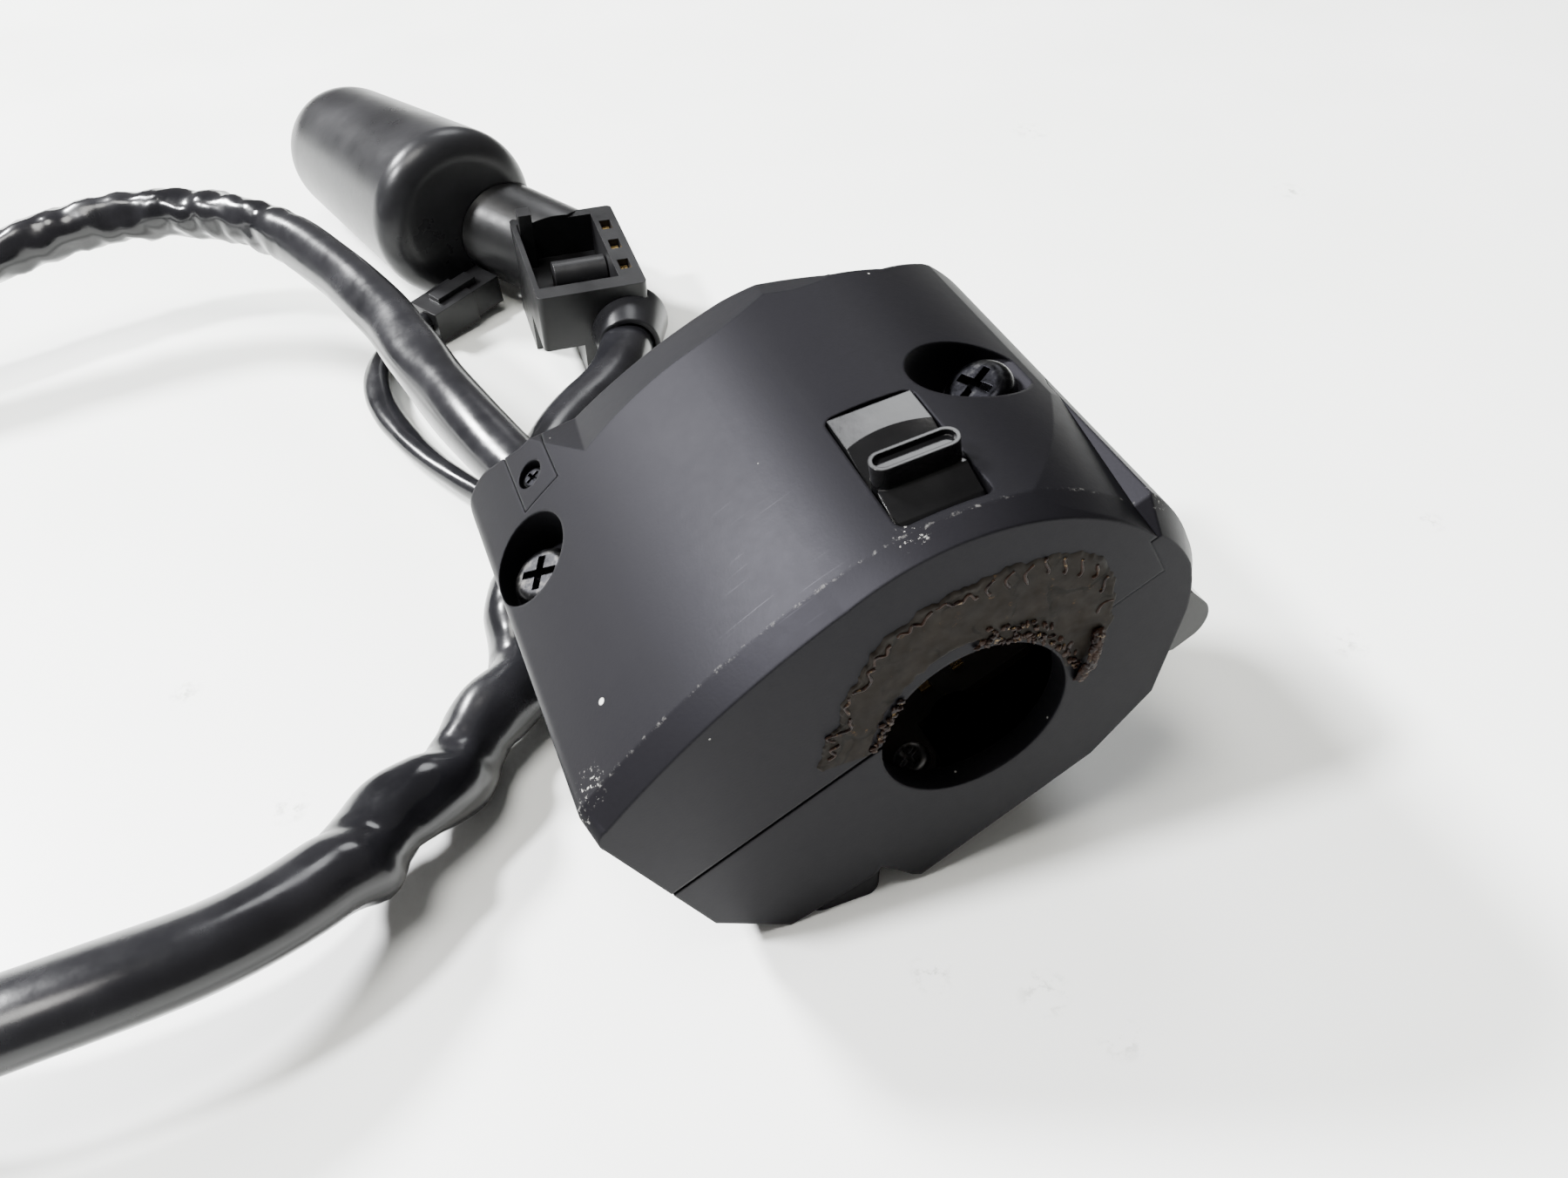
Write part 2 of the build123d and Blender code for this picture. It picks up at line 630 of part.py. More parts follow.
with BuildPart() as connector_boot:
    with BuildSketch(Plane(origin=boot_start, x_dir=boot_run, z_dir=boot_plane.x_dir)):
        with BuildLine():
            Line((-0.8, 0), (-0.8, 11.0))
            Spline((-0.8, 11.0), (0.6, 14.6), (4.6, 16.1), tangents=((0, 1), (1, -0.07)))
            Line((4.6, 16.1), (46, 13.1))
            Spline((46, 13.1), (54.6, 10.1), (58.6, 4.6), (59.2, 0.0),
                   tangents=((1, -0.07), (0, -1)))
            Line((59.2, 0), (57.6, 0))
            Spline((57.6, 0), (57.0, 4.2), (53.4, 9.0), (46, 11.5), tangents=((0, 1), (-1, 0.07)))
            Polyline((46, 11.5), (5.5, 14.4), (2.2, 13.2), (0.8, 10.8), (0.8, 0), (-0.8, 0))
        make_face()
    revolve(axis=Axis(boot_start, boot_run))
    add(connector_body.part, mode=Mode.SUBTRACT)
save(connector_boot, "connector_boot")

with BuildPart() as wire_seal:
    with BuildSketch(along(harness[-1], harness[-2])):
        Circle(7.4)
    with BuildSketch(along(harness[-1], harness[-2], 8.7)):
        Circle(5.4)
    loft()
    with BuildSketch(along(harness[-1], harness[-2], -1)):
        Circle(sleeve_r + 0.05)
    extrude(amount=20, mode=Mode.SUBTRACT)
    add(connector_body.part, mode=Mode.SUBTRACT)
save(wire_seal, "wire_seal")

# ---------------------------------------------------------------- connector of the thin lead
with BuildPart() as clutch_connector:
    plug = along(lead[-2], lead[-1], (Vector(*lead[-1]) - Vector(*lead[-2])).length)
    plug = Plane(origin=plug.origin, x_dir=Vector(0, 0, 1).cross(plug.z_dir), z_dir=plug.z_dir)
    with BuildSketch(plug):
        Rectangle(7.4, 6.4)
    extrude(amount=9.5)
    with BuildSketch(plug.offset(9.5)):
        Rectangle(6.2, 5.6)
    extrude(amount=6.5)
    # latch along the top
    with BuildSketch(plug.offset(3)):
        with Locations((0, 3.5)):
            Rectangle(3, 1.4)
    extrude(amount=9)
save(clutch_connector, "clutch_connector")

print("nodes written", len(os.listdir("parts")))
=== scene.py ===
"""Left-hand handlebar switch lying on a pale table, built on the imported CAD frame."""
import json
import math
import random

import bpy
from mathutils import Matrix, Vector, noise


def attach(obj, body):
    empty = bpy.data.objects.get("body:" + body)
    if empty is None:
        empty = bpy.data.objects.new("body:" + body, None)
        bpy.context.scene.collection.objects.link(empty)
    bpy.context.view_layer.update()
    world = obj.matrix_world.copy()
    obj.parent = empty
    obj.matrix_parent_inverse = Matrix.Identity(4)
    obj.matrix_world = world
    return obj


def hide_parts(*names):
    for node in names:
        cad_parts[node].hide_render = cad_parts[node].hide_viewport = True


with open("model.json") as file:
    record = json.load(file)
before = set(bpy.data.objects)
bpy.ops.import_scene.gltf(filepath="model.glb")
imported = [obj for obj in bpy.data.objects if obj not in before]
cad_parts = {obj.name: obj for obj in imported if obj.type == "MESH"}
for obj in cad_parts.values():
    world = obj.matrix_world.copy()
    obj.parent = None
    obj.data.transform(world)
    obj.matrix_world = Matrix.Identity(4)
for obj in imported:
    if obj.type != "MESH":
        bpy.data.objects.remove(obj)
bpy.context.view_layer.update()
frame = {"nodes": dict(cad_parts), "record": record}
NODES = frame["nodes"]
MM = 0.001
LIP = 3.5 * MM                   # from the outer end face back to the edge behind the lip, where a pale line of wear and painted highlight runs
HARNESS_R = 4.5 * MM
LEAD_R = 2.4 * MM
LEAN = math.radians(30)
TABLE = -28.06 * MM
U = Vector((math.cos(LEAN), 0, math.sin(LEAN)))
W = Vector((-math.sin(LEAN), 0, math.cos(LEAN)))


def at(u, s, w):
    """A housing point (mm) in the row frame (m): u across, s along the bar, w forward."""
    return (U * u + W * w + Vector((0, s, 0))) * MM


# ------------------------------------------------------------------ camera
cam_data = bpy.data.cameras.new("camera")
cam_data.sensor_width = 36
cam_data.lens = 29.6
cam_data.clip_start = 0.005
camera = bpy.data.objects.new("camera", cam_data)
right, down, ahead = (Vector(v) for v in
                      ((0.928, -0.374, -0.001), (-0.258, -0.639, -0.725), (0.270, 0.672, -0.689)))
turn = Matrix((right, -down, -ahead)).transposed()
camera.matrix_world = Matrix.Translation(Vector((-53.41, -77.31, 106.65)) * MM) @ turn.to_4x4()
bpy.context.scene.collection.objects.link(camera)
bpy.context.scene.camera = camera


# ------------------------------------------------------------------ shader helpers
class Shader:
    """Node tree of one material, with short ways to make and join nodes."""

    def __init__(self, name, color=(0.8, 0.8, 0.8), **sockets):
        self.mat = bpy.data.materials.new(name)
        self.mat.use_nodes = True
        self.mat.diffuse_color = (*color, 1)
        self.tree = self.mat.node_tree
        self.bsdf = self.tree.nodes["Principled BSDF"]
        self.bsdf.inputs["Base Color"].default_value = (*color, 1)
        for key, value in sockets.items():
            self.bsdf.inputs[key.replace("_", " ")].default_value = value
        self.coords = self.node("ShaderNodeTexCoord").outputs["Object"]

    def node(self, kind, links=(), **settings):
        made = self.tree.nodes.new(kind)
        for key, value in settings.items():
            setattr(made, key, value)
        for socket, source in dict(links).items():
            target = made.inputs[socket]
            if isinstance(source, bpy.types.NodeSocket):
                self.tree.links.new(source, target)
            else:
                target.default_value = source
        return made

    def noise(self, scale, detail=4.0, rough=0.55, vector=None, distort=0.0):
        return self.node("ShaderNodeTexNoise", {"Vector": vector or self.coords, "Scale": scale,
                         "Detail": detail, "Roughness": rough, "Distortion": distort}).outputs["Fac"]

    def cells(self, scale, vector=None, feature="F1"):
        return self.node("ShaderNodeTexVoronoi", {"Vector": vector or self.coords, "Scale": scale},
                         feature=feature).outputs["Distance"]

    def math(self, op, a, b=0.0, clamp=False):
        return self.node("ShaderNodeMath", {0: a, 1: b}, operation=op, use_clamp=clamp).outputs[0]

    def ramp(self, value, low, high, out_low=0.0, out_high=1.0):
        return self.node("ShaderNodeMapRange", {"Value": value, "From Min": low, "From Max": high,
                         "To Min": out_low, "To Max": out_high}, clamp=True).outputs["Result"]

    def mix(self, factor, a, b):
        made = self.node("ShaderNodeMix", data_type="RGBA")
        for socket, source in ((made.inputs["Factor"], factor), (made.inputs[6], a),
                               (made.inputs[7], b)):
            if isinstance(source, bpy.types.NodeSocket):
                self.tree.links.new(source, socket)
            elif isinstance(source, tuple):
                socket.default_value = (*source, 1)
            else:
                socket.default_value = source
        return made.outputs[2]

    def dot(self, vector, direction, offset=0.0):
        """Distance along direction (a unit vector) of the object coordinates, less offset (m)."""
        product = self.node("ShaderNodeVectorMath", {0: vector, 1: tuple(direction)},
                            operation="DOT_PRODUCT").outputs["Value"]
        return self.math("SUBTRACT", product, offset)

    def near(self, point, inner, outer):
        """1 within inner of a point (m), falling to 0 at outer."""
        distance = self.node("ShaderNodeVectorMath", {0: self.coords, 1: tuple(point)},
                             operation="DISTANCE").outputs["Value"]
        return self.ramp(distance, inner, outer, 1.0, 0.0)

    def set(self, socket, source):
        self.tree.links.new(source, self.bsdf.inputs[socket])

    def bump(self, height, strength=0.3, depth=0.0001, edge=0.0):
        """Bump, over rounded edges of radius edge (m)."""
        links = {"Height": height, "Strength": strength, "Distance": depth}
        if edge:
            rounded = self.node("ShaderNodeBevel", {"Radius": edge}, samples=4)
            links["Normal"] = rounded.outputs["Normal"]
        self.set("Normal", self.node("ShaderNodeBump", links).outputs["Normal"])


def plastic(name, color, rough, edge=0.0002, grain=900, bump=0.15, spread=0.12, **sockets):
    """Moulded plastic or rubber: slight grain, cloudy tone and uneven gloss."""
    sh = Shader(name, color, **sockets)
    cloud = sh.noise(60, 5)
    light = tuple(min(1, c * 1.35 + 0.004) for c in color)
    dark = tuple(c * 0.72 for c in color)
    sh.set("Base Color", sh.mix(sh.ramp(cloud, 0.3, 0.7), dark, light))
    marks = sh.noise(260, 3, 0.7)
    sh.set("Roughness", sh.ramp(sh.math("ADD", sh.math("MULTIPLY", cloud, 0.6),
                                        sh.math("MULTIPLY", marks, 0.4)),
                                0.3, 0.7, rough - spread, rough + spread))
    sh.bump(sh.noise(grain, 3), bump, 0.00008, edge)
    return sh.mat


def metal(name, color, rough, stain=(0.1, 0.08, 0.06), **sockets):
    """Worn metal: fine scratches and darker stains."""
    sh = Shader(name, color, Metallic=1.0, **sockets)
    cloud = sh.noise(420, 5, 0.7)
    sh.set("Base Color", sh.mix(sh.ramp(cloud, 0.52, 0.72), color, stain))
    sh.set("Roughness", sh.ramp(cloud, 0.3, 0.75, rough * 0.7, min(1, rough * 1.6)))
    sh.bump(sh.noise(2500, 3), 0.25, 0.00003, 0.00015)
    return sh.mat


# ------------------------------------------------------------------ materials
def case_skin(name, base, rough):
    """Satin black nylon: fine spark texture, faint haze, a pale line behind the lip that is partly rubbed
    wear and partly painted highlight, nicks and hair scratches.
    """
    sh = Shader(name, base)
    sh.bsdf.inputs["Specular IOR Level"].default_value = 0.085
    sh.bsdf.inputs["Specular Tint"].default_value = (0.88, 0.86, 1.0, 1)
    haze = sh.noise(26, 4, 0.5)
    fine = sh.noise(700, 3, 0.6)
    color = sh.mix(sh.ramp(haze, 0.3, 0.7), base, tuple(c * 1.35 for c in base))
    # pale line along the edge behind the outer lip, partly rubbed wear and partly a painted highlight;
    # nicks at corners and dust specks
    s = sh.dot(sh.coords, (0, 1, 0), 0.0)
    behind_lip = sh.math("ABSOLUTE", sh.math("SUBTRACT", s, LIP))
    crease_wear_and_painted_highlight = sh.math("MULTIPLY", sh.ramp(behind_lip, 0.00008, 0.0003, 1.0, 0.0),
                     sh.ramp(sh.noise(700, 4, 0.8), 0.56, 0.66))
    nicks = sh.ramp(sh.noise(1700, 3, 0.8), 0.6, 0.66)
    wear_and_painted_highlight = sh.math("MULTIPLY", crease_wear_and_painted_highlight, 0.12)
    for point, size in ((at(6.2, 3.2, 27.0), 2.0), (at(-34.6, 4.6, 23.4), 2.6),
                        (at(-37.4, 2.8, 22.0), 1.6), (at(29.6, 3.2, 9), 2.4)):
        wear_and_painted_highlight = sh.math("MAXIMUM", wear_and_painted_highlight, sh.math("MULTIPLY", nicks, sh.near(
            point, 0.1 * size * MM, size * MM)))
    specks = sh.ramp(sh.cells(330), 0.055, 0.035, 0.0, 1.0)
    few = sh.ramp(sh.noise(90, 2, 0.5), 0.6, 0.62)
    wear_and_painted_highlight = sh.math("MAXIMUM", wear_and_painted_highlight, sh.math("MULTIPLY", sh.math("MULTIPLY", specks, few), 0.5))
    wear_and_painted_highlight = sh.math("MAXIMUM", wear_and_painted_highlight, sh.near(at(-29.5, 11.6, 24.9), 0.0003, 0.00045))
    # wear marks, dust specks and the painted highlight line behind the lip lighten the base colour
    sh.set("Base Color", sh.mix(wear_and_painted_highlight, color, (0.5, 0.49, 0.46)))
    # hair scratches: stretched noise across the crown
    hair = sh.node("ShaderNodeMapping", {"Vector": sh.coords, "Rotation": (0.3, 0.5, 0.95),
                                         "Scale": (1.0, 30.0, 1.0)}).outputs["Vector"]
    scratch = sh.ramp(sh.noise(90, 2, 0.5, vector=hair), 0.66, 0.72)
    scratch = sh.math("MULTIPLY", scratch, sh.near(at(-8, 11, 28), 0.004, 0.013))
    sh.set("Roughness", sh.math("SUBTRACT", sh.ramp(sh.math("ADD", haze, sh.math(
        "MULTIPLY", fine, 0.3)), 0.4, 0.9, rough - 0.04, rough + 0.05),
        sh.math("MULTIPLY", scratch, 0.12)))
    sh.bump(sh.noise(2600, 3, 0.6), 0.22, 0.00004, 0.00045)
    return sh.mat


def dried_film(name):
    """Dried adhesive: brown-grey skin with dark cracks and golden-brown flecks."""
    sh = Shader(name, (0.012, 0.009, 0.007), Roughness=0.55, Specular_IOR_Level=0.06)
    warp = sh.node("ShaderNodeTexNoise", {"Vector": sh.coords, "Scale": 260.0, "Detail": 3.0})
    moved = sh.node("ShaderNodeVectorMath", {0: warp.outputs["Color"], 1: (0.0035, 0.0035, 0.0035)},
                    operation="MULTIPLY").outputs["Vector"]
    place = sh.node("ShaderNodeVectorMath", {0: sh.coords, 1: moved},
                    operation="ADD").outputs["Vector"]
    crack = sh.cells(210, place, "DISTANCE_TO_EDGE")
    line = sh.math("MULTIPLY", sh.ramp(crack, 0.02, 0.06, 1.0, 0.0),
                   sh.ramp(sh.noise(160, 3), 0.5, 0.56))
    fleck = sh.math("MULTIPLY", sh.ramp(sh.noise(850, 4, 0.7), 0.62, 0.68),
                    sh.ramp(sh.noise(190, 2), 0.5, 0.6))
    tone = sh.mix(sh.ramp(sh.noise(240, 4), 0.35, 0.65), (0.0065, 0.0049, 0.0037), (0.0115, 0.0088, 0.0064))
    tone = sh.mix(line, tone, (0.004, 0.003, 0.002))
    sh.set("Base Color", sh.mix(fleck, tone, (0.05, 0.026, 0.007)))
    sh.set("Roughness", sh.ramp(sh.noise(500, 3), 0.3, 0.7, 0.42, 0.68))
    sh.bump(sh.math("ADD", sh.math("MULTIPLY", line, -0.4), sh.noise(420, 3)), 0.3, 0.00012)
    return sh.mat


def crumb_stuff(name):
    """Crumbs and torn edges of the film, from dark red to amber."""
    sh = Shader(name, (0.03, 0.012, 0.006), Roughness=0.35, Specular_IOR_Level=0.12)
    tone = sh.noise(600, 3, 0.6)
    color = sh.mix(sh.ramp(tone, 0.4, 0.55), (0.0045, 0.0015, 0.0013), (0.016, 0.0065, 0.003))
    sh.set("Base Color", sh.mix(sh.ramp(sh.noise(1500, 3), 0.62, 0.7), color, (0.13, 0.09, 0.045)))
    sh.set("Roughness", sh.ramp(tone, 0.3, 0.7, 0.25, 0.6))
    sh.bump(sh.noise(1800, 4), 0.6, 0.0001)
    return sh.mat


MATS = {
    "case_plastic": case_skin("case_plastic", (0.0024, 0.0023, 0.0028), 0.48),
    "knob_plastic": plastic("knob_plastic", (0.002, 0.002, 0.0022), 0.16, spread=0.06,
                            Specular_IOR_Level=0.28),
    "carrier_plastic": plastic("carrier_plastic", (0.05, 0.042, 0.035), 0.55),
    "connector_plastic": plastic("connector_plastic", (0.004, 0.004, 0.0045), 0.38,
                                 Specular_IOR_Level=0.25),
    "sleeve_vinyl": plastic("sleeve_vinyl", (0.005, 0.005, 0.0062), 0.22, edge=0, grain=700,
                            Specular_IOR_Level=0.36),
    "soft_rubber": plastic("soft_rubber", (0.007, 0.007, 0.008), 0.3, edge=0.0006, spread=0.05,
                           Specular_IOR_Level=0.18),
    "steel": metal("steel", (0.5, 0.5, 0.5), 0.35),
    "bright_steel": metal("bright_steel", (0.013, 0.013, 0.014), 0.3, stain=(0.045, 0.043, 0.04)),
    "dark_steel": metal("dark_steel", (0.005, 0.005, 0.006), 0.3, stain=(0.022, 0.022, 0.022)),
    "brass": metal("brass", (0.75, 0.52, 0.2), 0.3, stain=(0.3, 0.18, 0.06)),
}
slot_of = {p["node"]: p["material_slot"] for p in frame["record"]["subparts"]}
for name, obj in NODES.items():
    obj.data.materials.clear()
    obj.data.materials.append(MATS[slot_of[name]])


def link(name, mesh, material):
    """A new piece with its material, riding on the housing."""
    obj = bpy.data.objects.new(name, mesh)
    bpy.context.scene.collection.objects.link(obj)
    obj.data.materials.append(material)
    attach(obj, "housing")
    return obj


# ------------------------------------------------------------------ cords
def route(name, points):
    """Points along the smooth centreline of a cord (m), from its control points (mm)."""
    data = bpy.data.curves.new(name, "CURVE")
    data.dimensions = "3D"
    data.resolution_u = 24
    spline = data.splines.new("NURBS")
    spline.points.add(len(points) - 1)
    for point, place in zip(spline.points, points):
        point.co = (*(Vector(place) * MM), 1)
    spline.order_u = 3
    spline.use_endpoint_u = True
    obj = bpy.data.objects.new(name, data)
    bpy.context.scene.collection.objects.link(obj)
    bpy.context.view_layer.update()
    mesh = bpy.data.meshes.new_from_object(obj)
    line = [v.co.copy() for v in mesh.vertices]
    bpy.data.meshes.remove(mesh)
    bpy.data.objects.remove(obj)
    return line


def even(line, step):
    """The same line in steps of equal length."""
    lengths = [0.0]
    for a, b in zip(line, line[1:]):
        lengths.append(lengths[-1] + (b - a).length)
    count = max(2, round(lengths[-1] / step))
    out, k = [], 0
    for i in range(count + 1):
        want = lengths[-1] * i / count
        while k < len(line) - 2 and lengths[k + 1] < want:
            k += 1
        part = (want - lengths[k]) / max(1e-9, lengths[k + 1] - lengths[k])
        out.append(line[k].lerp(line[k + 1], min(1.0, part)))
    return out


def add_tube(verts, faces, line, radius, ring=40, shape=None):
    """Adds a closed tube along a line; shape(distance, angle) scales its radius."""
    first = len(verts)
    tangent = (line[1] - line[0]).normalized()
    side = tangent.cross(Vector((0, 0, 1))).normalized()
    done = 0.0
    for i, point in enumerate(line):
        ahead_dir = (line[min(i + 1, len(line) - 1)] - line[max(i - 1, 0)]).normalized()
        side = (side - ahead_dir * side.dot(ahead_dir)).normalized()
        up = ahead_dir.cross(side)
        if i:
            done += (point - line[i - 1]).length
        for k in range(ring):
            angle = 2 * math.pi * k / ring
            r = radius * (shape(done, angle) if shape else 1.0)
            verts.append(point + (side * math.cos(angle) + up * math.sin(angle)) * r)
    for i in range(len(line) - 1):
        for k in range(ring):
            n = (k + 1) % ring
            faces.append(tuple(first + c for c in (i * ring + k, i * ring + n,
                                                   (i + 1) * ring + n, (i + 1) * ring + k)))
    faces.append(tuple(first + k for k in reversed(range(ring))))
    faces.append(tuple(first + (len(line) - 1) * ring + k for k in range(ring)))


def smooth_mesh(name, verts, faces):
    """A smooth-shaded mesh from lists."""
    mesh = bpy.data.meshes.new(name)
    mesh.from_pydata(verts, [], faces)
    mesh.polygons.foreach_set("use_smooth", [True] * len(faces))
    mesh.update()
    return mesh


def tube_mesh(name, line, radius, ring=40, shape=None):
    """A mesh that is one tube along a line."""
    verts, faces = [], []
    add_tube(verts, faces, line, radius, ring, shape)
    return smooth_mesh(name, verts, faces)


# the routes that part.py gives the two cords (mm)
HARNESS = [(-30.0, 46.5, -3.0), (-36.8, 67, -2.2), (-42.5, 93, -2.8), (-46.5, 119, -3.5),
           (-60, 156, -4.5), (-84, 171, -5.5), (-110, 165, -8), (-150, 150, -18),
           (-178, 110, -23.2), (-182, 70, -23.2), (-160, 30, -21), (-125, 10, -14),
           (-98, 9, -11), (-76, 14, -15.5), (-59, 28, -21), (-42, 44, -22.6),
           (-37.5, 62, -17), (-27, 88, -16.5), (-8, 105.5, -18.6), (-4.2, 121.2, -19)]
LEAD = [(-24.5, 47, -17), (-25.5, 62, -19.5), (-31.5, 78, -25.5), (-43.5, 99, -25.6),
        (-49.3, 117, -25.6), (-49.6, 129.5, -25.6), (-45.7, 138.6, -25.3), (-37.3, 143.3, -24.5)]


def window(x, start, end, soft):
    """1 between start and end, falling to 0 over soft on either side."""
    up = min(1.0, max(0.0, (x - start + soft) / soft))
    fall = min(1.0, max(0.0, (end + soft - x) / soft))
    return up * up * (3 - 2 * up) * fall * fall * (3 - 2 * fall)


def sleeve_shape(done, angle):
    """Thin sleeve drawn over wires: lumpy, flat or twisted by turns along its length."""
    d = done / MM
    c, s = math.cos(angle), math.sin(angle)
    slack = 0.06 * noise.noise(Vector((d / 14.0, c * 0.8, s * 0.8)))
    flat = 0.06 * math.cos(2 * (angle + d / 60.0) + 0.6)
    lumpy = window(d, 112, 190, 16) * (
        0.025 * math.sin(2 * math.pi * d / 6.3 + 2.6 * math.cos(angle - 1.2) + d / 9.0)
        + 0.15 * noise.noise(Vector((d / 4.6, c * 1.1, s * 1.1)))
        + 0.07 * noise.noise(Vector((d / 1.9, c * 1.8, s * 1.8 + 5.0))))
    fold = window(d, 55, 105, 14) * 0.08 * math.cos(3 * angle + d / 22.0)
    wide = window(d, 392, 440, 30) * (0.15 + 0.12 * math.cos(2 * angle + 0.5)
                                      - 0.05 * math.exp(-((s - 0.2) / 0.18) ** 2))
    turn_round = angle - 2 * math.pi * (d - 440) / 18.0
    twist = window(d, 443, 500, 6) * (0.12 + 0.18 * math.cos(turn_round)
                                      + 0.09 * noise.noise(Vector((d / 5.0, c, s + 9.0)))
                                      - 0.10 * math.exp(-((math.cos(turn_round + 2.4) - 0.9)
                                                          / 0.25) ** 2))
    return 0.98 + slack + flat + lumpy + fold + wide + twist


def lead_shape(done, angle):
    """Two wires side by side under a thin sleeve."""
    d = done / MM
    return 0.92 + 0.12 * math.cos(2 * (angle + d / 24.0)) + 0.05 * noise.noise(
        Vector((d / 6.0, math.cos(angle), math.sin(angle))))


harness_line = even(route("harness_route", HARNESS), 1.2 * MM)
harness = link("harness", tube_mesh("harness", harness_line, HARNESS_R, 44, sleeve_shape),
               MATS["sleeve_vinyl"])
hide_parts("harness_sleeve")
lead_line = even(route("lead_route", LEAD), 0.8 * MM)
lead = link("second_lead", tube_mesh("second_lead", lead_line, LEAD_R, 28, lead_shape),
            MATS["sleeve_vinyl"])
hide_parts("clutch_lead")

# ------------------------------------------------------------------ dried film round the bore
FILM_START, FILM_SWEEP = 151, 160   # degrees from the +u side of the bore, running clockwise
FILM_FLOOR = 0.02                   # thickness at its edges (mm)
RIDGE_HEIGHT = 0.14                 # how far the middles of the ridges stand off the end face (mm)
BORE_EDGE = 11.3                    # no film nearer to the bore's axis (mm)
# outer and inner edges of the film: angle, distance from the bore's axis (mm)
OUTLINE = [(151, 18.4), (136, 18.6), (130, 17.4), (117, 19.0), (110, 18.9), (100, 20.3), (93, 21.0),
           (88, 20.6), (81, 21.4), (74, 21.2), (66, 21.1), (59, 21.8), (51, 22.2), (45, 23.0),
           (36, 23.0), (29, 22.9), (21, 22.1), (10, 19.6), (-1, 17.3), (-9, 15.6)]
INSIDE = [(151, 12.6), (112, 12.5), (94, 12.7), (79, 13.0), (66, 12.7), (52, 11.7), (26, 11.4),
          (-9, 11.4)]


def between(table, angle):
    """Value at an angle in a list of (angle, value) that runs downward."""
    for (a, va), (b, vb) in zip(table, table[1:]):
        if a >= angle >= b:
            return va + (vb - va) * (a - angle) / (a - b)
    return table[-1][1]


def film_mesh(name):
    """Thin skin on the outer end face with curled, ragged edges."""
    cols, rows = 360, 30
    verts, faces = [], []
    for i in range(cols + 1):
        angle = FILM_START - FILM_SWEEP * i / cols
        ragged = (0.55 * noise.noise(Vector((angle / 5.0, 0.3, 0)))
                  + 0.3 * noise.noise(Vector((angle / 1.6, 2.3, 0))))
        low = between(INSIDE, angle) + 0.35 * noise.noise(Vector((angle / 4.0, 7.1, 0)))
        high = between(OUTLINE, angle) + ragged
        for j in range(rows + 1):
            part = j / rows
            r = max(low + (high - low) * part, BORE_EDGE)
            u = r * math.cos(math.radians(angle))
            w = r * math.sin(math.radians(angle))
            edge = min(part, 1 - part)
            curl = math.exp(-((edge - 0.05) / 0.05) ** 2)
            swell = noise.noise(Vector((u / 3.0, w / 3.0, 4.0)))
            thick = 0.12 + 0.04 * swell + 0.14 * curl * (0.6 + swell)
            if edge < 1e-6:
                thick = FILM_FLOOR
            verts.append(at(u, -thick, w))
    for i in range(cols):
        for j in range(rows):
            a = i * (rows + 1) + j
            faces.append((a, a + 1, a + rows + 2, a + rows + 1))
    return smooth_mesh(name, verts, faces)


def ridges_mesh(name):
    """Squiggly raised edges of the film: along its outer rim, and radial ones at the upper right."""
    chance = random.Random(11)
    verts, faces = [], []
    runs = [(146, 139), (137, 126), (124, 117), (115, 104), (103, 95), (92, 80), (79, 66)]
    for start, end in runs:
        line = []
        for k in range(41):
            angle = start + (end - start) * k / 40
            r = between(OUTLINE, angle) - 1.1 + 1.5 * noise.noise(Vector((angle / 3.1, 0.7, 2.0)))
            a = math.radians(angle)
            line.append(at(r * math.cos(a), -RIDGE_HEIGHT, r * math.sin(a)))
        add_tube(verts, faces, line, 0.17 * MM, 8,
                 lambda d, t: 1.0 + 0.6 * noise.noise(Vector((d / MM / 0.8, math.cos(t), start))))
    for angle in (62, 56, 50, 45, 39, 33, 27, 20, 12):
        line = []
        long = chance.uniform(1.4, 2.6)
        for k in range(17):
            r = between(OUTLINE, angle) - 0.5 - long * k / 16
            a = math.radians(angle + 1.3 * math.sin(k / 4.0 + angle))
            line.append(at(r * math.cos(a), -RIDGE_HEIGHT, r * math.sin(a)))
        add_tube(verts, faces, line, 0.16 * MM, 8,
                 lambda d, t: 1.0 + 0.6 * noise.noise(Vector((d / MM / 0.7, math.cos(t), long))))
    return smooth_mesh(name, verts, faces)


def blob(verts, faces, middle, size, seed, rings=6, ring=9):
    """Adds one lumpy crumb to the lists."""
    first = len(verts)
    for i in range(rings + 1):
        lat = math.pi * i / rings
        for k in range(ring):
            lon = 2 * math.pi * k / ring
            out = Vector((math.sin(lat) * math.cos(lon), math.sin(lat) * math.sin(lon),
                          math.cos(lat)))
            lump = 1 + 0.7 * noise.noise(out * 1.6 + Vector((seed, 0, 0)))
            verts.append(middle + Vector([c * s for c, s in zip(out, size)]) * lump)
    for i in range(rings):
        for k in range(ring):
            n = (k + 1) % ring
            faces.append((first + i * ring + k, first + (i + 1) * ring + k,
                          first + (i + 1) * ring + n, first + i * ring + n))


def crumbs_mesh(name):
    """Crumbs along the torn inner edge of the film."""
    chance = random.Random(5)
    verts, faces = [], []
    zones = [(149, 112, 20, 11.7), (66, 22, 30, 12.0), (62, 26, 14, 13.4), (20, -14, 16, 12.2)]
    for start, end, count, radius in zones:
        for k in range(count):
            angle = math.radians(start + (end - start) * (k + chance.random()) / count)
            r = radius + chance.uniform(-0.35, 0.75)
            size = [chance.uniform(0.15, 0.5) * MM for _ in range(3)]
            size[1] = chance.uniform(0.12, 0.3) * MM
            place = at(r * math.cos(angle), -0.15 - chance.random() * 0.2, r * math.sin(angle))
            blob(verts, faces, place, size, k * 1.7 + radius)
    # thick flap of the film curled over beside the bore
    for k in range(40):
        part = k / 39
        mid = at(16.2 - 4.4 * part, -0.35 - 0.55 * math.sin(math.pi * part), 0.6 - 5.4 * part)
        blob(verts, faces, mid + Vector((0, 0, 0.0004 * math.sin(part * 9))),
             (0.75 * MM, 0.4 * MM, 0.55 * MM), k * 0.31)
    return smooth_mesh(name, verts, faces)


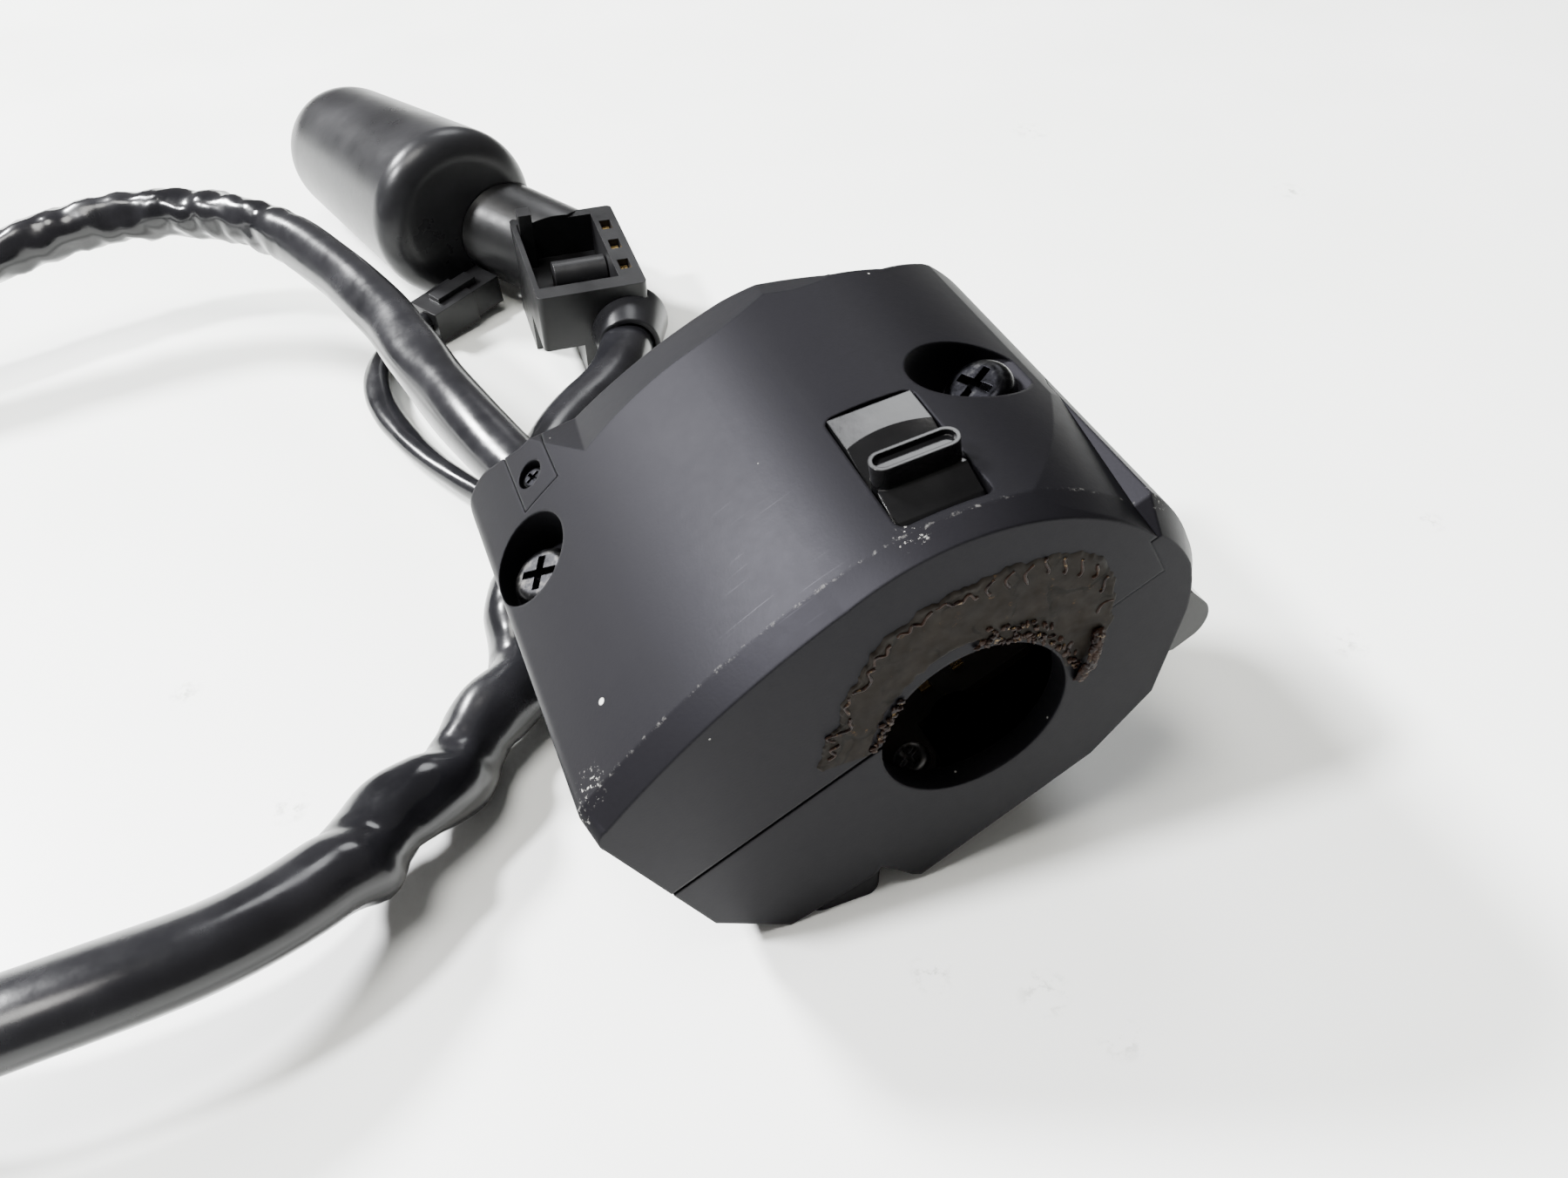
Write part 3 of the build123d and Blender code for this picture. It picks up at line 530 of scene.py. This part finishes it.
link("dried_film", film_mesh("dried_film"), dried_film("dried_film"))
torn = crumb_stuff("film_crumbs")
link("film_ridges", ridges_mesh("film_ridges"), torn)
link("film_crumbs", crumbs_mesh("film_crumbs"), torn)

# ------------------------------------------------------------------ table and light
floor_sh = Shader("table", (0.9, 0.91, 0.885))
soft = floor_sh.noise(9, 3)
paper = floor_sh.mix(floor_sh.ramp(soft, 0.35, 0.65), (0.88, 0.9, 0.86), (0.93, 0.935, 0.915))
smudge = None
# marks on the table: place and width (mm)
for x, y, size in ((-75, 40, 3.0), (-86, 66, 2.5), (153, 132, 4.0), (71, 13, 3.5), (2, -19, 3.5),
                   (-9, -12, 3.0), (115, 181, 5.0), (7, -27, 3.0), (101, 30, 3.0)):
    spot = floor_sh.near((x * MM, y * MM, TABLE), 0.0, size * MM)
    smudge = spot if smudge is None else floor_sh.math("MAXIMUM", smudge, spot)
smudge = floor_sh.math("MULTIPLY", smudge, floor_sh.ramp(floor_sh.noise(420, 4, 0.7), 0.5, 0.62))
floor_sh.set("Base Color", floor_sh.mix(smudge, paper, (0.4, 0.41, 0.38)))
floor_sh.set("Roughness", floor_sh.ramp(floor_sh.noise(30, 4), 0.3, 0.7, 0.35, 0.5))
floor_sh.bump(floor_sh.noise(70, 4), 0.05, 0.0002)
mesh = bpy.data.meshes.new("table")
reach = 3.0
mesh.from_pydata([(-reach, -reach, TABLE), (reach, -reach, TABLE), (reach, reach, TABLE),
                  (-reach, reach, TABLE)], [], [(0, 1, 2, 3)])
table_obj = bpy.data.objects.new("table", mesh)
table_obj.data.materials.append(floor_sh.mat)
bpy.context.scene.collection.objects.link(table_obj)


def area(name, place, target, size, power, color=(1, 1, 1)):
    """Round area light of a given width (m) and power (W), aimed at a point."""
    data = bpy.data.lights.new(name, "AREA")
    data.shape = "DISK"
    data.size = size
    data.energy = power
    data.color = color
    obj = bpy.data.objects.new(name, data)
    obj.location = place
    obj.rotation_euler = (Vector(target) - Vector(place)).to_track_quat("-Z", "Y").to_euler()
    bpy.context.scene.collection.objects.link(obj)


area("key", (-0.9, 1.05, 1.1), (0, 0.03, 0), 0.34, 132, (0.98, 0.985, 1.0))
area("side", (-1.03, 0.14, 1.12), (0, 0.03, 0), 0.16, 62, (0.98, 0.985, 1.0))
area("window", (0.45, 1.05, 1.1), (0, 0.03, 0), 0.55, 9, (0.96, 0.98, 1.0))
area("overhead", (-0.45, 0.0, 1.6), (0, 0.03, 0), 0.7, 28, (1.0, 0.985, 0.94))
world = bpy.data.worlds.new("studio")
world.use_nodes = True
world.node_tree.nodes["Background"].inputs["Color"].default_value = (1.0, 0.975, 0.94, 1)
world.node_tree.nodes["Background"].inputs["Strength"].default_value = 0.24
bpy.context.scene.world = world
